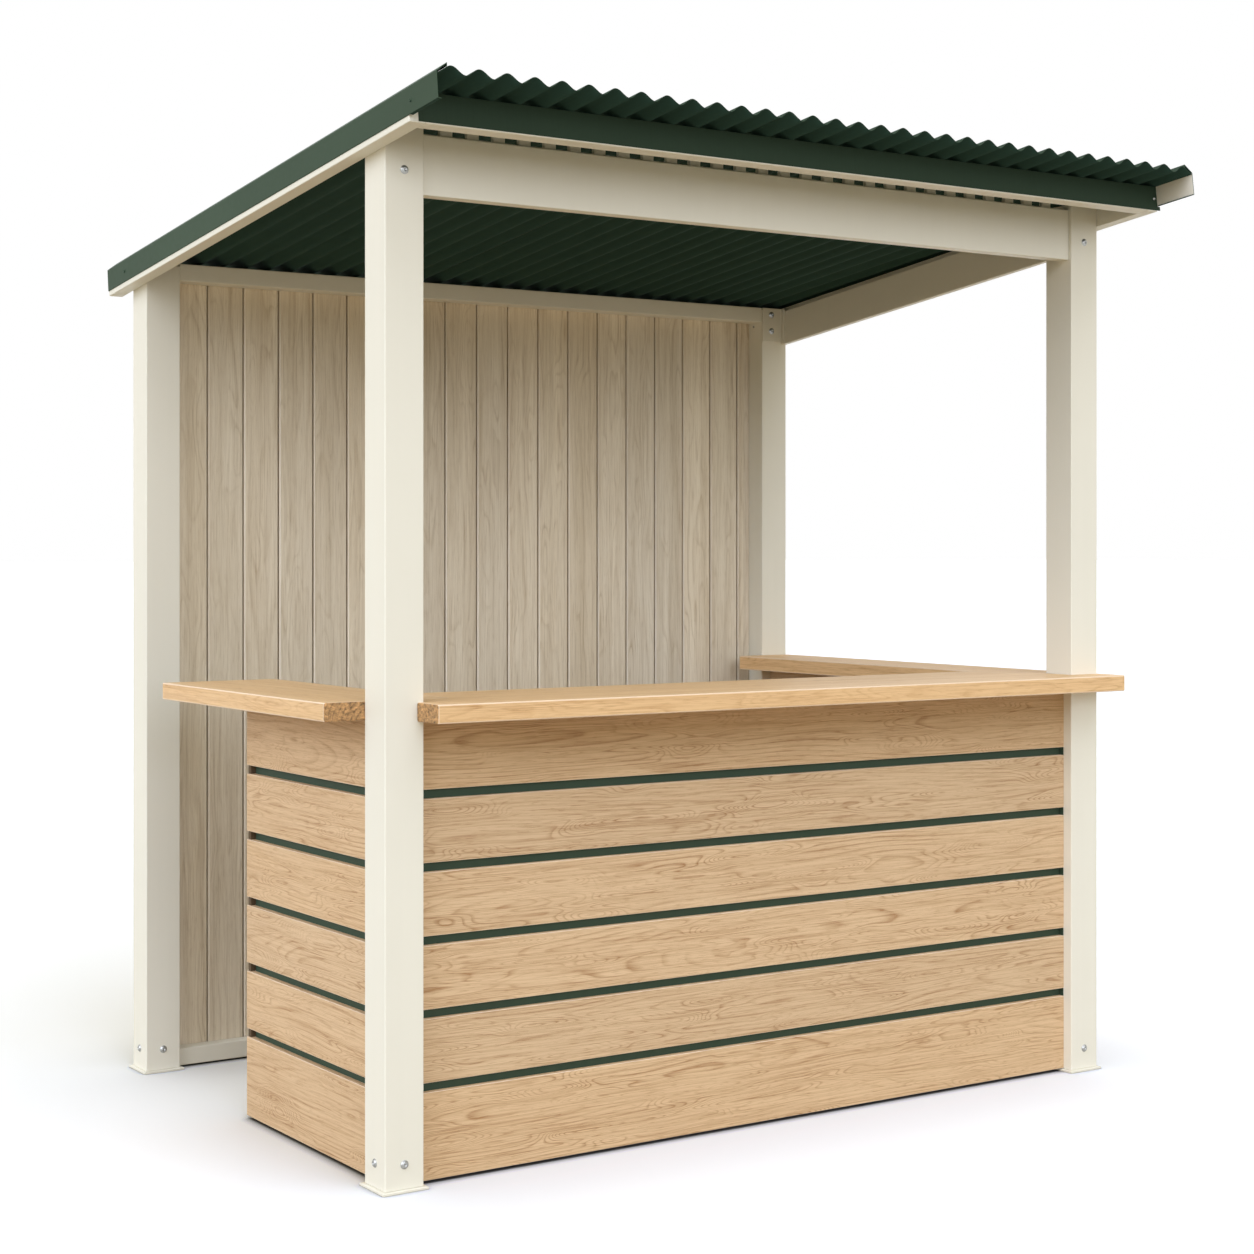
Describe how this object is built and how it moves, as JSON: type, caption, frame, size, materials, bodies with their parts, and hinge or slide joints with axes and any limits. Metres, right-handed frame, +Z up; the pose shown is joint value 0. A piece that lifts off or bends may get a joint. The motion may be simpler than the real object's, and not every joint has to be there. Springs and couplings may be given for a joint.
{
  "type": "market stall",
  "caption": "Open market stall with square posts, a corrugated lean-to roof, a boarded back wall and a slatted U-shaped counter with oak tops.",
  "frame": {"origin": "on the floor, at the middle of the stall's overall plan", "axes": "+X along the front, to the right as a customer sees it; +Y from the front to the back wall; +Z up"},
  "size_m": [2.406, 1.9448, 2.5131],
  "materials": {
    "frame_paint": "smooth satin cream paint",
    "steel_paint": "satin cream paint",
    "roof_green": "satin dark green coating",
    "wall_boards": "matt weathered boards with joints",
    "slat_oak": "matt oiled oak with horizontal grain",
    "lining_oak": "matt oak board",
    "backing_green": "matt dark green paint",
    "counter_oak": "oiled oak with visible end grain",
    "foot_black": "matt black",
    "bolt_steel": "zinc plated"
  },
  "bodies": {
    "root": {"post_front_left": "frame_paint", "post_front_right": "frame_paint", "post_rear_left": "frame_paint", "post_rear_right": "frame_paint", "front_beam": "frame_paint", "eave_strip": "frame_paint", "side_beam": "frame_paint", "roof_rail_left": "frame_paint", "roof_rail_right": "frame_paint", "roof_rail_front": "frame_paint", "wall_rail_top": "frame_paint", "wall_rail_foot": "frame_paint", "foot_front_left": "steel_paint", "foot_front_right": "steel_paint", "foot_rear_left": "steel_paint", "foot_rear_right": "steel_paint", "bracket_front": "steel_paint", "bracket_rear": "steel_paint", "roof_sheet_left": "roof_green", "roof_sheet_right": "roof_green", "fascia_front": "roof_green", "verge_left": "roof_green", "verge_right": "roof_green", "back_wall": "wall_boards", "front_slats": "slat_oak", "left_slats": "slat_oak", "right_slats": "slat_oak", "left_end_cap": "slat_oak", "front_lining": "lining_oak", "left_lining": "lining_oak", "right_lining": "lining_oak", "front_backing": "backing_green", "left_backing": "backing_green", "right_backing": "backing_green", "counter_top_front": "counter_oak", "counter_top_left": "counter_oak", "counter_top_right": "counter_oak", "left_wall_foot": "foot_black"}
  },
  "joints": []
}
